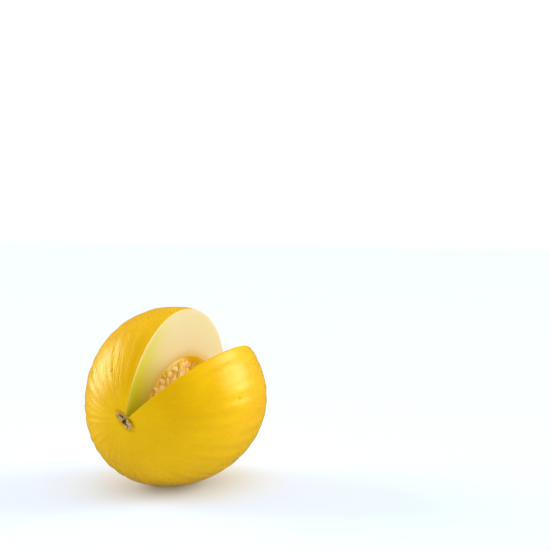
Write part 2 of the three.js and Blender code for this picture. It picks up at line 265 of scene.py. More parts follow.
@dataclass(frozen=True)
class FruitForm:
    """The melon's outer form, its missing wedge and its seed hollow, about its long line."""

    belly_radius: float = 76.0
    half_length: float = 91.2
    stem_fullness: float = 0.06
    belly_rise: float = 5.7
    lobes: tuple[float, float, float] = (-0.014, 0.015, -0.01)
    wrinkle_depth: float = 1.4
    wrinkle_share: tuple[float, float, float] = (0.4, 1.2, 0.8)
    waves: tuple[tuple[float, float, float, float], ...] = (
        (19, 0.25, 40, 5),
        (29, 0.4, 110, -4),
        (41, 0.35, 250, 3),
    )
    cut_steep: float = math.radians(83)
    cut_low: float = math.radians(401.7)
    hollow_radius: float = 34.0
    hollow_half_length: float = 59.0
    hollow_centre: float = 3.0
    hollow_rise: float = 5.0
    stub_half_length: float = 9.8
    stub_half_width: float = 3.5
    stub_turn: float = math.radians(138)
    seat_depth: float = 0.9
    seat_edge: tuple[float, float] = (0.3, 2.2)
    scar_rise: float = 0.8
    scar_ring: tuple[float, float] = (5.0, 2.2)
    scar_dimple: float = 2.5
    from_low_corner: tuple[float, float, float] = (73.81, 90.73, 69.2)

    def middle(self) -> Array:
        """Place of the long line's middle in the frame, from the lowest corner of the fruit's node."""
        low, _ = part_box("melon_body")
        return np.array(low) / MM + np.array(self.from_low_corner)

    def roundness(self, angle: Array) -> Array:
        """Cross-section, 1 where it is round: a rise of the belly and waves of two and three lobes."""
        two, three, three_turned = self.lobes
        rise = self.belly_rise / self.belly_radius * np.sin(angle)
        return (
            1.0
            + rise
            + two * np.cos(2 * angle)
            + three * np.cos(3 * angle)
            + three_turned * np.sin(3 * angle)
        )

    def wrinkle(self, latitude: Array, angle: Array) -> Array:
        """Depth of the broad wrinkles: raised cosines round the fruit, deepest towards its ends."""
        belly, stem_end, blossom_end = self.wrinkle_share
        end = np.where(np.cos(latitude) > 0, stem_end, blossom_end)
        depth = self.wrinkle_depth * np.sin(latitude) * (belly + end * np.cos(latitude) ** 2)
        pressed = sum(
            part * (0.5 + 0.5 * np.cos(crests * (angle + math.radians(sway) * np.sin(2 * latitude))
                                       + math.radians(turn)))
            for crests, part, turn, sway in self.waves
        )
        return depth * pressed

    def stub_outline(self, angle: Array) -> Array:
        """Radius of the stem's stub: an ellipse, long from upper left to lower right."""
        turned = angle - self.stub_turn
        reach = np.hypot(self.stub_half_width * np.cos(turned), self.stub_half_length * np.sin(turned))
        return self.stub_half_length * self.stub_half_width / reach

    def skin(self, latitude: Array, angle: Array, pressed: Array | float = 0.0) -> Array:
        """Points of the skin, about the long line's middle.

        The radius is belly radius x sine of latitude x fullness x roundness, less the wrinkles. The
        stem end sinks in under the stub, and the blossom end has a low ring with a dimple.

        Args:
            latitude: Angles along the fruit from the stem.
            angle: Angles about the long line.
            pressed: Further depth that the skin is pressed in.

        Returns:
            The points.
        """
        latitude, angle = np.broadcast_arrays(latitude, angle)
        along = np.cos(latitude)
        smooth = self.belly_radius * np.sin(latitude) * (1.0 + self.stem_fullness * along)
        radius = np.maximum(smooth * self.roundness(angle) - self.wrinkle(latitude, angle) - pressed, 0.0)
        beyond = radius - self.stub_outline(angle)
        seat = self.seat_depth * (1.0 - smoothstep(beyond, *self.seat_edge))
        ring, ring_width = self.scar_ring
        scar = self.scar_rise * (bell(radius - ring, ring_width) - bell(radius, self.scar_dimple))
        return around(radius, angle, -self.half_length * along + np.where(along > 0, seat, scar))

    def hollow_reach(self, angle: Array, margin: float = 0.0) -> Array:
        """Radius of the seed hollow at its middle, larger towards the top, drawn in by a margin."""
        return self.hollow_radius + self.hollow_rise * np.sin(angle) - margin

    def hollow_along(self, latitude: Array, margin: float = 0.0) -> Array:
        """Places of the hollow's rows along the long line, drawn in by a margin."""
        return self.hollow_centre - (self.hollow_half_length - margin) * np.cos(latitude)

    def hollow(self, latitude: Array, angle: Array, margin: float = 0.0) -> Array:
        """Points of the hollow's wall: an egg round the long line."""
        latitude, angle = np.broadcast_arrays(latitude, angle)
        radius = self.hollow_reach(angle, margin) * np.sin(latitude)
        return around(radius, angle, self.hollow_along(latitude, margin))


def crowded(count: int, crowding: float) -> Array:
    """Latitudes from 0 to pi that crowd towards both ends: pi s less half the crowding x sine 2 pi s."""
    s = np.linspace(0.0, 1.0, count + 1)
    return math.pi * s - 0.5 * crowding * np.sin(2 * math.pi * s)


@dataclass
class MelonBody:
    """Skin, rind and flesh, which grew as one and were cut by a knife."""

    form: FruitForm
    rows: int = 150
    crowding: float = 0.5
    skin_columns: int = 500
    face_columns: int = 22
    wall_columns: int = 60
    edge_rounding: float = 0.9
    lip_rounding: float = 0.8
    edge_steps: int = 3
    fine_depth: float = 0.42
    face_waver: float = 0.12
    wall_relief: float = 0.5
    inset: float = 0.05

    def fine_wrinkles(self, latitude: Array, angle: Array) -> Array:
        """Depth of the fine wrinkles: long narrow noise that sways, in patches, with sharp creases.

        Args:
            latitude: Angles along the fruit from the stem.
            angle: Angles about the long line.

        Returns:
            How far the skin is pressed in.
        """
        sway = 0.9 * Noise(11)(4.0 * angle, 3.0 * latitude) + 0.35 * Noise(12)(11.0 * angle, 8.0 * latitude)
        broad = 0.5 + 0.5 * Noise(13)(17.0 * angle + sway, 3.2 * latitude)
        narrow = 0.5 + 0.5 * Noise(14)(39.0 * angle + 1.6 * sway, 6.5 * latitude)
        crease = (1.0 - np.abs(Noise(15)(23.0 * angle + 1.2 * sway, 4.0 * latitude))) ** 5
        patch = 0.3 + 0.7 * smoothstep(Noise(16)(2.3 * angle, 3.1 * latitude), -0.5, 0.5)
        ends = np.sin(latitude) * (0.3 + 0.9 * np.cos(latitude) ** 2)
        return self.fine_depth * patch * ends * (0.55 * broad + 0.3 * narrow + 0.45 * crease)

    def skin_points(self, latitude: Array, angle: Array) -> Array:
        """Points of the skin with its fine wrinkles, level where the fruit rests on its flat spot."""
        pressed = self.inset + self.fine_wrinkles(latitude, angle)
        points = self.form.skin(latitude, angle, pressed)
        floor = -self.form.middle()[2]
        points[..., 2] = np.maximum(points[..., 2], floor)
        return points

    def wall_points(self, latitude: Array, angle: Array) -> Array:
        """Points of the hollow's wall, drawn out into the flesh by soft lumps and lengthwise threads."""
        lumps = 0.5 + 0.5 * Noise(21)(3.5 * angle, 7.0 * latitude)
        threads = 0.5 + 0.5 * Noise(22)(6.0 * angle, 30.0 * latitude)
        relief = self.wall_relief * np.sin(latitude) * (0.7 * lumps + 0.3 * threads)
        return self.form.hollow(latitude, angle, -relief)

    def cut_edge(self, latitude: Array, angle: float, inward: int) -> dict[str, Array]:
        """Corners and roundings of one cut face, from the skin to the hollow.

        Args:
            latitude: Angles along the fruit, one for each row.
            angle: Angle of the cut.
            inward: 1 if the flesh lies at greater angles, else -1.

        Returns:
            For each row, the rounded edge of the skin, its face and the hollow's rounded lip.
        """
        corner = self.skin_points(latitude, np.full_like(latitude, angle))
        lip = self.wall_points(latitude, np.full_like(latitude, angle))
        radius = np.maximum(np.hypot(corner[:, 0], corner[:, 2]), 1e-9)
        lip_radius = np.maximum(np.hypot(lip[:, 0], lip[:, 2]), 1e-9)
        turn = np.minimum(self.edge_rounding / radius, math.radians(0.9))
        lip_turn = np.minimum(self.lip_rounding / lip_radius, math.radians(4))
        across = lip - corner
        width = np.linalg.norm(across, axis=1, keepdims=True)
        below = corner + across * np.minimum(0.6 * self.edge_rounding / width, 0.1)
        before = lip - across * np.minimum(self.lip_rounding / width, 0.2)
        return {
            "skin_angle": angle + inward * turn,
            "wall_angle": angle + inward * lip_turn,
            "corner": corner,
            "below": below,
            "before": before,
            "lip": lip,
        }

    def face_points(self, edge: dict[str, Array], latitude: Array, angle: float, inward: int) -> Array:
        """Points of one cut face: straight lines from skin to hollow, with the knife's slight waver.

        Args:
            edge: Corners of the face, from cut_edge.
            latitude: Angles along the fruit, one for each row.
            angle: Angle of the cut.
            inward: 1 if the flesh lies at greater angles, else -1.

        Returns:
            The points, in columns that crowd towards both edges.
        """
        s = np.linspace(0.0, 1.0, self.face_columns + 1)
        shares = s - 0.11 * np.sin(2 * math.pi * s)
        points = between(edge["below"], edge["before"], shares)
        waver = 0.5 + 0.5 * Noise(31)(points[..., 1] / 9.0, np.hypot(points[..., 0], points[..., 2]) / 26.0)
        held = np.sin(latitude)[:, None] * 4.0 * (shares * (1.0 - shares))[None]
        normal = around(1.0, angle + inward * math.pi / 2, 0.0)
        return points + (self.face_waver * waver * held)[..., None] * normal

    def shell(self) -> Shell:
        """Builds the closed surface: skin, low cut, hollow's wall and steep cut, as one loop a row."""
        latitude = crowded(self.rows, self.crowding)
        low = self.cut_edge(latitude, self.form.cut_low, -1)
        steep = self.cut_edge(latitude, self.form.cut_steep, 1)

        def spread(start: Array, end: Array, count: int) -> Array:
            """Even steps from start to end in each row."""
            return start[:, None] + (end - start)[:, None] * np.linspace(0.0, 1.0, count + 1)

        skin_angles = spread(steep["skin_angle"], low["skin_angle"], self.skin_columns)
        wall_angles = spread(low["wall_angle"], steep["wall_angle"], self.wall_columns)
        skin = self.skin_points(latitude[:, None], skin_angles)
        wall = self.wall_points(latitude[:, None], wall_angles)
        low_face = self.face_points(low, latitude, self.form.cut_low, -1)
        steep_face = self.face_points(steep, latitude, self.form.cut_steep, 1)[:, ::-1]
        strips = [
            skin,
            rounded(skin[:, -1], low["corner"], low["below"], self.edge_steps),
            low_face,
            rounded(low["before"], low["lip"], wall[:, 0], self.edge_steps),
            wall,
            rounded(wall[:, -1], steep["lip"], steep["before"], self.edge_steps),
            steep_face,
            rounded(steep["below"], steep["corner"], skin[:, 0], self.edge_steps),
        ]
        points = np.concatenate(strips, axis=1)
        widths = [strip.shape[1] for strip in strips]
        part = np.repeat(np.arange(len(strips)), widths)
        finish_of_part = np.array([0, 0, 1, 1, 2, 1, 1, 0])
        finish = np.tile(finish_of_part[part], (self.rows, 1)).reshape(-1)
        angles = np.concatenate(
            [
                skin_angles,
                np.full((self.rows + 1, sum(widths[1:4])), self.form.cut_low),
                wall_angles,
                np.full((self.rows + 1, sum(widths[5:8])), self.form.cut_steep),
            ],
            axis=1,
        )
        depth, core = self.depths(points, latitude)
        values = {
            "turn": angles.reshape(-1),
            "along": np.repeat(latitude, points.shape[1]),
            "depth": depth.reshape(-1),
            "core": core.reshape(-1),
        }
        quads = grid_quads(*points.shape[:2], closed=True)
        return Shell(points.reshape(-1, 3), quads, finish, values).welded()

    def depths(self, points: Array, latitude: Array) -> tuple[Array, Array]:
        """Distances, in the half plane of each point, to the skin's outline and the hollow's.

        Args:
            points: Points of the loops, as rows x columns x 3.
            latitude: Angles along the fruit, one for each row. Not used.

        Returns:
            Depth under the skin and distance from the hollow, of each point.
        """
        radius = np.hypot(points[..., 0], points[..., 2])
        flat = np.stack([radius, points[..., 1]], axis=-1)
        fine = np.linspace(0.0, math.pi, 721)
        found = []
        for outline in (self.form.skin, self.form.hollow):
            edge = outline(fine, np.full_like(fine, self.form.cut_steep))
            edge = np.stack([np.hypot(edge[:, 0], edge[:, 2]), edge[:, 1]], axis=-1)
            gaps = [np.linalg.norm(row[:, None] - edge[None], axis=-1).min(axis=1) for row in flat]
            found.append(np.array(gaps))
        return found[0], found[1]

    def build(self, finishes: Sequence[bpy.types.Material]) -> bpy.types.Object:
        """Makes the piece and lets it stand for the fruit's node."""
        body = self.shell().piece("fruit_flesh_and_rind", self.form.middle(), finishes)
        mount_piece(body, "melon_body")
        return body


# Seed mass


def turned(roll: float, tilt: float, lean: float) -> Array:
    """Matrix of a roll about X, then a tilt about Y, then a lean about Z."""
    tilted = Matrix.Rotation(lean, 3, "Z") @ Matrix.Rotation(tilt, 3, "Y")
    return np.array(tilted @ Matrix.Rotation(roll, 3, "X"))


class SteadyDraws:
    """Even draws between -1 and 1 that are the same every time."""

    FACTOR = 1664525
    STEP = 1013904223
    RANGE = 4294967296

    def __init__(self, seed: int) -> None:
        """Starts from a seed."""
        self.state = seed

    def __call__(self) -> float:
        """Next draw."""
        self.state = (self.state * self.FACTOR + self.STEP) % self.RANGE
        return 2.0 * self.state / self.RANGE - 1.0


@dataclass
class PulpSide:
    """One open side of the seed mass, which faces the missing wedge.

    Its places are given by y along the fruit, radius out from the long line, and lift off the pulp.
    """

    form: FruitForm
    angle: float
    inward_turn: int
    gap: float = 0.5
    setback: float = 4.0
    lump: float = 0.6
    edge_changes: tuple[tuple[float, float, float], ...] = (
        (-3.4, math.radians(75), 0.6),
        (5.5, math.radians(115), 0.3),
    )
    sunken: tuple[float, float, float, float, float] = (4.0, math.radians(112), 0.35, 0.84, 0.2)

    @property
    def out(self) -> Array:
        """Direction away from the long line."""
        return around(1.0, self.angle, 0.0)

    @property
    def inward(self) -> Array:
        """Direction into the pulp."""
        return around(1.0, self.angle + self.inward_turn * math.pi / 2, 0.0)

    @property
    def reach(self) -> float:
        """Radius of the pulp at its middle."""
        return float(self.form.hollow_reach(np.array(self.angle), self.gap))

    def edge_setback(self, latitude: Array) -> Array:
        """Setback at the wall: bells make it almost flush near the stem and deep under the bare dome."""
        changes = [more * bell(latitude - place, length) for more, place, length in self.edge_changes]
        return self.setback + sum(changes)

    def wall_angle(self, latitude: Array) -> Array:
        """Angles at which the side meets the hollow's wall."""
        return self.angle + self.inward_turn * np.arcsin(self.edge_setback(latitude) / self.reach)

    def size(self, y: Array) -> Array:
        """Size of the hollow's cross-section at y: the height of an ellipse, 1 at its middle."""
        along = (y - self.form.hollow_centre) / (self.form.hollow_half_length - self.gap)
        return np.sqrt(np.clip(1.0 - along * along, 0.0, None))

    def latitude(self, y: Array) -> Array:
        """Latitude of the hollow's row at y, where y falls by the cosine of it."""
        along = (self.form.hollow_centre - y) / (self.form.hollow_half_length - self.gap)
        return np.arccos(np.clip(along, -1.0, 1.0))

    def swell(self, latitude: Array, share: Array) -> Array:
        """Depth that the side sinks in: sine lumps and one bell-shaped sunken spot, none at its edges."""
        depth, spot, length, place, width = self.sunken
        lumps = self.lump * np.sin(7 * latitude + 2) * np.sin(5 * share + 3 * latitude)
        spot_depth = depth * bell(latitude - spot, length) * bell(share - place, width)
        return 4.0 * share * (1.0 - share) * (lumps + spot_depth)

    def point(self, y: Array, radius: Array, lift: Array | float = 0.0) -> Array:
        """Places on the side, a lift above the pulp."""
        y, radius = np.broadcast_arrays(np.asarray(y, float), np.asarray(radius, float))
        size = self.size(y)
        latitude = self.latitude(y)
        share = np.minimum(radius / np.maximum(self.reach * size, 1e-6), 1.0)
        setback = self.setback + (self.edge_setback(latitude) - self.setback) * share
        sunk = (setback + self.swell(latitude, share)) * size - lift
        across = radius[..., None] * self.out + sunk[..., None] * self.inward
        return across + y[..., None] * LONG_LINE

    def basis(self) -> Array:
        """Columns out, across and facing the wedge."""
        facing = -self.inward
        return np.stack([self.out, np.cross(facing, self.out), facing], axis=1)


@dataclass
class SeedMass:
    """Pulp in the hollow with its seeds and threads."""

    form: FruitForm
    pulp_rows: int = 110
    side_columns: int = 56
    wall_columns: int = 56
    pulp_relief: float = 0.7
    wall_gap: float = 0.15
    seed_size: tuple[float, float, float] = (10.5, 5.2, 2.6)
    seed_pitch: tuple[float, float] = (9.5, 7.6)
    seed_jitter: tuple[float, float, float, float, float] = (1.6, 1.2, 30, 12, 25)
    seed_lean: tuple[float, float] = (96, 120)
    seed_clearance: float = 2.2
    seeded_half_length: float = 45.0
    seed_stations: int = 12
    seed_sides: int = 14
    deep_seeds: int = 8
    deep_start: float = 3.0
    deep_lift: tuple[float, float] = (-0.6, 0.9)
    deep_turns: tuple[float, float, float] = (25, 10, 25)
    deep_lean: float = 100
    thread_sides: int = 6
    thread_steps: int = 14
    ties: tuple[tuple[float, float, float], ...] = ((-4, 28, 6), (-27, 23, -20), (34, 21, 24))
    tie_length: float = 15.0
    tie_radii: tuple[float, float] = (1.15, 0.95)
    tie_bows: tuple[float, float, float] = (-0.8, 0.1, 0.9)
    fork_spreads: tuple[float, float, float, float] = (-3.4, -2.0, 1.8, 3.6)
    thin_threads: int = 44
    thin_radii: tuple[float, float] = (0.18, 0.42)
    thin_ends: tuple[float, float] = (0.25, 0.8)
    thin_slant: float = 5.0
    threaded_half_length: float = 50.0
    bare_setback: float = 5.5

    def sides(self) -> tuple[PulpSide, PulpSide]:
        """The side under the steep cut and the one under the low cut."""
        return PulpSide(self.form, self.form.cut_steep, 1), PulpSide(self.form, self.form.cut_low, -1)

    def relief(self, latitude: Array, share: Array, seed: int) -> Array:
        """Depth of the pulp's soft lumps and of the threads that run across it, none at its edges."""
        lumps = 0.5 + 0.5 * Noise(seed)(16.0 * latitude, 4.5 * share)
        threads = np.abs(Noise(seed + 1)(34.0 * latitude + 1.5 * lumps, 3.0 * share))
        held = np.clip(6.0 * share * (1.0 - share), 0.0, 1.0)
        return self.pulp_relief * held * (0.75 * lumps + 0.6 * threads)

    def pulp(self) -> Shell:
        """Closed pulp: steep side, round the wall and back along the low side, shrinking to both ends."""
        steep, low = self.sides()
        latitude = np.linspace(0.0, math.pi, self.pulp_rows + 1)[:, None]
        half_wedge = (steep.angle + 2 * math.pi - low.angle) / 2
        middle = (steep.angle + low.angle) / 2 - math.pi
        apex = around(-steep.setback / math.sin(half_wedge), middle, 0.0)
        share = np.linspace(0.0, 1.0, self.side_columns + 1)

        def wall_points(angles: Array) -> Array:
            """Points of the hollow's wall at its middle."""
            return around(self.form.hollow_reach(angles, self.wall_gap), angles, 0.0)

        def side_points(side: PulpSide, seed: int) -> Array:
            """Points of one side, from the apex out to the wall."""
            edge = wall_points(side.wall_angle(latitude))
            line = apex + (edge - apex) * share[None, :, None]
            sunk = side.swell(latitude, share[None]) + self.relief(latitude, share[None], seed)
            return line + sunk[..., None] * side.inward

        steps = np.linspace(0.0, 1.0, self.wall_columns + 1)[1:-1]
        start = steep.wall_angle(latitude)
        wall = wall_points(start + (low.wall_angle(latitude) - start) * steps)
        loop = np.concatenate([side_points(steep, 41), wall, side_points(low, 51)[:, ::-1]], axis=1)
        size = np.sin(latitude)
        along = np.broadcast_to(self.form.hollow_along(latitude, self.wall_gap), loop.shape[:2])
        grid = np.stack([loop[..., 0] * size, along, loop[..., 2] * size], axis=-1)
        at_wall = np.concatenate([share, np.ones(wall.shape[1]), share[::-1]])
        bare = smoothstep(steep.edge_setback(latitude), 4.0, 7.0)
        return Shell.of_grid(grid, closed=True, values={"tip": at_wall[None], "tint": bare}).welded()

    def seed(self) -> Array:
        """Grid of one seed: a flat drop, blunt at -X and pointed at +X, with a thin rim round it.

        Half its width at x is root of (1 - x squared) x (1 - 0.3 x), drawn in towards the tip.
        """
        length, width, thickness = self.seed_size
        x = -np.cos(np.linspace(0.0, math.pi, self.seed_stations + 1))[:, None]
        turn = np.linspace(0.0, 2 * math.pi, self.seed_sides + 1)[None]
        full = np.sqrt(np.clip(1.0 - x * x, 0.0, None)) * (1.0 - 0.3 * x)
        swell = full * (1.0 - 0.12 * smoothstep(x, 0.3, 1.0))
        round_off = 0.82 + 0.18 * np.abs(np.sin(turn))
        across = swell * width * np.cos(turn) / 2
        up = swell * thickness * np.sin(turn) * round_off / 2
        return np.stack([np.broadcast_to(x * length / 2, across.shape), across, up], axis=-1)

    def placed_seed(
        self,
        side: PulpSide,
        place: tuple[float, float, float],
        turn: Array,
        tint: float,
    ) -> Shell:
        """One seed on a side.

        Args:
            side: Side that it lies on.
            place: Its y, radius and lift.
            turn: Matrix that leans it.
            tint: Its own shade, from 0 to 1.

        Returns:
            The closed seed.
        """
        y, radius, lift = place
        centre = side.point(np.array(y), np.array(radius), lift)
        grid = self.seed() @ (side.basis() @ turn).T + centre
        tints = np.full(grid.shape[:2], tint)
        heights = np.broadcast_to(np.linspace(0.0, 1.0, grid.shape[0])[:, None], grid.shape[:2])
        return Shell.of_grid(grid, turned=True, values={"tint": tints, "tip": heights})

    def seeds(self) -> Shell:
        """Rows of seeds on both sides, filled from the wall inwards, and deeper ones between them."""
        draw = SteadyDraws(7)
        tints = np.random.default_rng(3)
        along, out, lean, tilt, roll = self.seed_jitter
        outer_lean, inner_lean = self.seed_lean
        pitch_along, pitch_across = self.seed_pitch
        margin = self.seed_size[0] / 2 + self.seed_clearance
        lines = round(2 * self.seeded_half_length / pitch_along)
        made = []
        for side in self.sides():
            for line in np.linspace(-self.seeded_half_length, self.seeded_half_length, lines + 1):
                reach = side.reach * float(side.size(self.form.hollow_centre + line)) - margin
                count = max(1, math.floor(reach / pitch_across + 0.5))
                for radius in np.linspace(0.0, reach, count + 1)[1:]:
                    y = self.form.hollow_centre + line + along * draw()
                    place = (y, radius + out * draw(), 0.0)
                    leaning = math.radians((outer_lean if radius == reach else inner_lean) + lean * draw())
                    tilted = math.radians(tilt * draw())
                    turn = turned(math.radians(roll * draw()), tilted, leaning)
                    made.append(self.placed_seed(side, place, turn, tints.uniform()))
            made.extend(self.deeper_seeds(side, tints))
        return Shell.joined(made).welded()

    def deeper_seeds(self, side: PulpSide, draws: np.random.Generator) -> list[Shell]:
        """Seeds that lie half sunk between the rows of one side."""
        made = []
        for step in range(self.deep_seeds):
            share = 2 * (step + draws.uniform()) / self.deep_seeds - 1
            y = self.form.hollow_centre + self.seeded_half_length * share
            reach = side.reach * float(side.size(y)) - self.seed_size[0] / 2 - self.seed_clearance
            radius = self.deep_start + (reach - self.deep_start) * draws.uniform() ** 0.7
            roll, tilt, lean = (turn * draws.normal() for turn in self.deep_turns)
            angles = np.radians([roll, tilt, self.deep_lean + lean])
            highest, depth = self.deep_lift
            place = (y, radius, highest - depth * draws.uniform())
            made.append(self.placed_seed(side, place, turned(*angles), draws.uniform()))
        return made

    def thread(self, path: Array, radius: Array, facing: Array) -> Shell:
        """A thread: a round profile carried along a path.

        Args:
            path: Points along it.
            radius: Radius at each point.
            facing: A direction across the path, in which one side of the profile points.

        Returns:
            The closed thread, drawn to a point at both ends.
        """
        ahead = np.gradient(path, axis=0)
        ahead /= np.linalg.norm(ahead, axis=1, keepdims=True)
        beside = np.cross(ahead, facing)
        beside /= np.linalg.norm(beside, axis=1, keepdims=True)
        above = np.cross(beside, ahead)
        turn = np.linspace(0.0, 2 * math.pi, self.thread_sides + 1)[None, :, None]
        profile = np.cos(turn) * beside[:, None] + np.sin(turn) * above[:, None]
        taper = np.sqrt(np.clip(1.0 - np.linspace(-1.0, 1.0, len(path)) ** 2, 0.0, None))
        grid = path[:, None] + (radius * taper)[:, None, None] * profile
        values = {"tint": np.full(grid.shape[:2], 0.5), "tip": np.full(grid.shape[:2], 0.5)}
        return Shell.of_grid(grid, values=values)

    def bent_thread(self, side: PulpSide, start: Array, end: Array, size: float, bow: float) -> Shell:
        """A thread on a side between two places of y, radius and lift, bowed by sine waves."""
        s = np.linspace(0.0, 1.0, self.thread_steps + 1)
        y, radius, lift = (start + (end - start) * s[:, None]).T
        y = y + bow * np.sin(math.pi * s) + 0.3 * bow * np.sin(3 * math.pi * s)
        path = side.point(y, radius, lift + 0.4 * np.sin(math.pi * s))
        return self.thread(path, np.full_like(s, size), -side.inward)

    def threads(self) -> Shell:
        """Forked ties of fibre that run up to the wall, and thin threads across the pulp."""
        draws = np.random.default_rng(17)
        stem_radius, fork_radius = self.tie_radii
        made = []
        for side in self.sides():
            for y, radius, lean in self.ties:
                slope = math.tan(math.radians(lean))
                foot = np.array([y - slope * self.tie_length / 2, radius - self.tie_length / 2, 0.3])
                fork = np.array([y + draws.normal() * 0.4, radius + 0.5, 0.7])
                for spread in self.fork_spreads:
                    top_y = y + spread + slope * self.tie_length / 2
                    top = np.array([top_y, self.wall_radius(side, top_y), 0.2])
                    made.append(self.bent_thread(side, fork, top, fork_radius, 0.25 * spread))
                for bow in self.tie_bows:
                    head = fork + np.array([0, 0.8, 0.3])
                    made.append(self.bent_thread(side, foot, head, stem_radius, bow))
            for step in range(self.thin_threads):
                share = 2 * (step + draws.uniform()) / self.thin_threads - 1
                y = self.form.hollow_centre + self.threaded_half_length * share
                if side.edge_setback(side.latitude(y)) > self.bare_setback:
                    continue
                top = self.wall_radius(side, y)
                start = np.array([y, top, -0.3])
                end_y = y + self.thin_slant * draws.normal()
                end = np.array([end_y, top * draws.uniform(*self.thin_ends), 0.1])
                size = draws.uniform(*self.thin_radii)
                made.append(self.bent_thread(side, start, end, size, draws.normal()))
        return Shell.joined(made).welded()

    def wall_radius(self, side: PulpSide, y: float) -> float:
        """Radius at which a side meets the hollow's wall at y."""
        size = float(side.size(y))
        return math.sqrt(max((side.reach * size) ** 2 - (side.setback * size) ** 2, 0.0)) - 0.4

    def build(self, pulp: bpy.types.Material, seed: bpy.types.Material, thread: bpy.types.Material) -> None:
        """Makes the three pieces, which stand for the seed mass together."""
        origin = self.form.middle()
        parts = (("hollow_pulp", self.pulp(), pulp), ("seed_rows", self.seeds(), seed),
                 ("pulp_threads", self.threads(), thread))
        for name, shell, finish in parts:
            mount_piece(shell.piece(name, origin, [finish]), "seed_mass")


# Stem's stub


@dataclass
class StemStub:
    """Corky stub that the stem left, split by the cut."""

    form: FruitForm
    gap: float = 0.3
    base_height: float = 0.9
    middle_height: float = 1.4
    lumps: tuple[tuple[float, float, float], ...] = ((2.9, 138, 34), (1.7, 212, 14), (2.8, 312, 40))
    profile: tuple[tuple[float, float], ...] = (
        (0, 0), (0.5, 0), (0.82, 0), (0.94, 0.32), (1, 0.65),
        (0.93, 0.95), (0.75, 1), (0.55, 0.9), (0.3, 0.55), (0, 0.35),
    )
    columns: int = 150
    steps_a_corner: int = 7
    relief: float = 1.3
    crack: tuple[float, float] = (-0.3, 1.7)

    def height(self, angle: Array) -> Array:
        """Height above the skin: a base with bell-shaped lumps round it."""
        degrees = np.degrees(angle)
        return self.base_height + sum(rise * bell(degrees - at, spread) for rise, at, spread in self.lumps)

    def smooth_profile(self) -> Array:
        """Profile resampled finely, each point the average of its neighbours, with its ends kept."""
        corners = np.array(self.profile, float)
        count = (len(corners) - 1) * self.steps_a_corner
        fine = np.linspace(0.0, len(corners) - 1, count + 1)
        line = np.stack([np.interp(fine, np.arange(len(corners)), corners[:, k]) for k in (0, 1)], axis=1)
        half = self.steps_a_corner // 2
        padded = np.concatenate([line[:1]] * half + [line] + [line[-1:]] * half)
        kernel = np.ones(2 * half + 1) / (2 * half + 1)
        soft = np.stack([np.convolve(padded[:, k], kernel, mode="valid") for k in (0, 1)], axis=1)
        soft[[0, -1]] = line[[0, -1]]
        return soft

    def points(self) -> tuple[Array, Array]:
        """Points of the stub over its profile and round it, and how deep in a furrow each lies, which also
        sets its painted shade.
        """
        angle = np.linspace(self.form.cut_steep, self.form.cut_low, self.columns + 1)[None]
        share, rise = self.smooth_profile().T[..., None]
        reach = share * self.form.stub_outline(angle)
        beside = reach * np.sin(angle - self.form.stub_turn)
        lengthwise = reach * np.cos(angle - self.form.stub_turn)
        ridges = np.abs(Noise(61)(0.62 * beside + 0.9 * rise, 0.2 * lengthwise + 3.0))
        pits = 0.5 + 0.5 * Noise(62)(1.3 * beside + 3.0 * rise, 0.55 * lengthwise)
        place, width = self.crack
        crack = bell(lengthwise - place, width) * (0.4 + 0.6 * smoothstep(beside, -1.0, 1.0))
        side_shade = 0.12 * (1.0 - smoothstep(rise, 0.45, 0.9))
        # The furrow value sets how deep the cork is pressed in and also its painted shade; the crack and
        # side_shade add painted shade.
        furrow = np.clip(0.8 * (1.0 - ridges) ** 3 + 0.3 * pits + crack + side_shade, 0.0, 1.0)
        blend = smoothstep(share, 0.0, 0.35)
        height = self.middle_height + (self.height(angle) - self.middle_height) * blend
        radius = reach - self.relief * furrow * smoothstep(rise, 0.1, 0.5) * share
        sine = radius / (self.form.belly_radius * (1.0 + self.form.stem_fullness))
        skin = -self.form.half_length * np.sqrt(1.0 - sine * sine)
        underside = self.form.seat_depth - self.gap
        top = rise * (underside + height) - self.relief * furrow * smoothstep(rise, 0.3, 0.8) * blend
        return around(radius, angle, skin + underside - top), furrow * np.ones_like(radius)

    def build(self, finish: bpy.types.Material) -> bpy.types.Object:
        """Makes the piece: its closed side and top, and a flat face along each cut."""
        grid, furrow = self.points()
        parts = [Shell.of_grid(grid, turned=True, values={"furrow": furrow})]
        half = grid.shape[0] // 2
        for column, turn in ((0, False), (-1, True)):
            edge, shade = grid[:, column], furrow[:, column]
            cut = np.stack([edge[:half], edge[::-1][:half]], axis=1)
            shades = np.stack([shade[:half], shade[::-1][:half]], axis=1)
            # The flat cut faces get at least 0.7 of painted shade.
            parts.append(Shell.of_grid(cut, turned=turn, values={"furrow": np.maximum(shades, 0.7)}))
        stub = Shell.joined(parts).welded().piece("stem_stub", self.form.middle(), [finish])
        mount_piece(stub, "stem_scar")
        return stub


# Finishes


def tone(red: float, green: float, blue: float) -> tuple[float, float, float, float]:
    """Colour of a picture, 0 to 255 a channel, as the light values that shaders take."""
    share = np.array([red, green, blue]) / 255.0
    light = np.where(share <= 0.04045, share / 12.92, ((share + 0.055) / 1.055) ** 2.4)
    return (*light.tolist(), 1.0)


